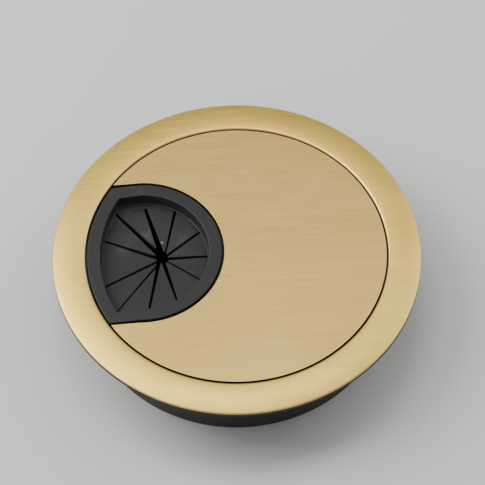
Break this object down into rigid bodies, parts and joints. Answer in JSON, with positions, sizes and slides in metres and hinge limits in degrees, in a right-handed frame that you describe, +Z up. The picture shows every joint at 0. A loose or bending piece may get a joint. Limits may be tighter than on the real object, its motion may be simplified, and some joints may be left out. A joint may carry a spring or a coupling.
{
  "type": "desk grommet",
  "caption": "Round desk cable grommet: brushed antique-brass trim ring and turning cap, with an arched cable opening closed by a slit rubber seal, on a black sleeve.",
  "frame": {"origin": "on the axis of the desk hole, at the desk top (the underside of the flange)", "axes": "+Z up out of the desk along the hole's axis; the cable opening is at the -X edge of the cap"},
  "size_m": [0.095, 0.095, 0.0217],
  "materials": {
    "antique_brass": "brushed, clear lacquered",
    "black_plastic": "smooth moulded, slight sheen",
    "black_rubber": "matt moulded rubber",
    "zinc_steel": "bright zinc plated"
  },
  "bodies": {
    "base": {"trim_ring": "antique_brass", "sleeve": "black_plastic"},
    "turntable": {"turntable": "black_plastic"},
    "cap": {"cap_plate": "antique_brass", "cable_seal": "black_rubber", "seal_clamp": "black_plastic", "clamp_screws": "zinc_steel"},
    "fin_01": {"fin_01": "black_rubber"},
    "fin_02": {"fin_02": "black_rubber"},
    "fin_03": {"fin_03": "black_rubber"},
    "fin_04": {"fin_04": "black_rubber"},
    "fin_05": {"fin_05": "black_rubber"},
    "fin_06": {"fin_06": "black_rubber"},
    "fin_07": {"fin_07": "black_rubber"},
    "fin_08": {"fin_08": "black_rubber"},
    "fin_09": {"fin_09": "black_rubber"},
    "fin_10": {"fin_10": "black_rubber"},
    "fin_11": {"fin_11": "black_rubber"}
  },
  "joints": [
    {"name": "cap_turn", "type": "hinge", "parent": "base", "child": "turntable", "pos_m": [0, 0, -0.006], "axis": [0, 0, 1], "continuous": true},
    {"name": "cap_lift", "type": "slide", "parent": "turntable", "child": "cap", "axis": [0, 0, 1], "range_m": [0, 0.03]},
    {"name": "fin_01_bend", "type": "hinge", "parent": "cap", "child": "fin_01", "pos_m": [-0.00857, 0.00374, -0.00245], "axis": [0.2272, -0.9739, 0], "range_deg": [-75, 75], "stiffness_Nm_per_rad": 0.0004},
    {"name": "fin_02_bend", "type": "hinge", "parent": "cap", "child": "fin_02", "pos_m": [-0.01246, 0.01085, -0.00245], "axis": [0.6663, -0.7457, 0], "range_deg": [-75, 75], "stiffness_Nm_per_rad": 0.0004},
    {"name": "fin_03_bend", "type": "hinge", "parent": "cap", "child": "fin_03", "pos_m": [-0.01954, 0.01555, -0.00245], "axis": [0.9508, -0.3097, 0], "range_deg": [-75, 75], "stiffness_Nm_per_rad": 0.0004},
    {"name": "fin_04_bend", "type": "hinge", "parent": "cap", "child": "fin_04", "pos_m": [-0.02727, 0.01572, -0.00245], "axis": [0.9544, 0.2984, 0], "range_deg": [-75, 75], "stiffness_Nm_per_rad": 0.0004},
    {"name": "fin_05_bend", "type": "hinge", "parent": "cap", "child": "fin_05", "pos_m": [-0.03225, 0.01056, -0.00245], "axis": [0.3111, 0.9504, 0], "range_deg": [-75, 75], "stiffness_Nm_per_rad": 0.0004},
    {"name": "fin_06_bend", "type": "hinge", "parent": "cap", "child": "fin_06", "pos_m": [-0.03357, 0, -0.00245], "axis": [0, 1, 0], "range_deg": [-75, 75], "stiffness_Nm_per_rad": 0.0004},
    {"name": "fin_07_bend", "type": "hinge", "parent": "cap", "child": "fin_07", "pos_m": [-0.03225, -0.01056, -0.00245], "axis": [-0.3111, 0.9504, 0], "range_deg": [-75, 75], "stiffness_Nm_per_rad": 0.0004},
    {"name": "fin_08_bend", "type": "hinge", "parent": "cap", "child": "fin_08", "pos_m": [-0.02727, -0.01572, -0.00245], "axis": [-0.9544, 0.2984, 0], "range_deg": [-75, 75], "stiffness_Nm_per_rad": 0.0004},
    {"name": "fin_09_bend", "type": "hinge", "parent": "cap", "child": "fin_09", "pos_m": [-0.01954, -0.01555, -0.00245], "axis": [-0.9508, -0.3097, 0], "range_deg": [-75, 75], "stiffness_Nm_per_rad": 0.0004},
    {"name": "fin_10_bend", "type": "hinge", "parent": "cap", "child": "fin_10", "pos_m": [-0.01246, -0.01085, -0.00245], "axis": [-0.6663, -0.7457, 0], "range_deg": [-75, 75], "stiffness_Nm_per_rad": 0.0004},
    {"name": "fin_11_bend", "type": "hinge", "parent": "cap", "child": "fin_11", "pos_m": [-0.00857, -0.00374, -0.00245], "axis": [-0.2272, -0.9739, 0], "range_deg": [-75, 75], "stiffness_Nm_per_rad": 0.0004}
  ]
}
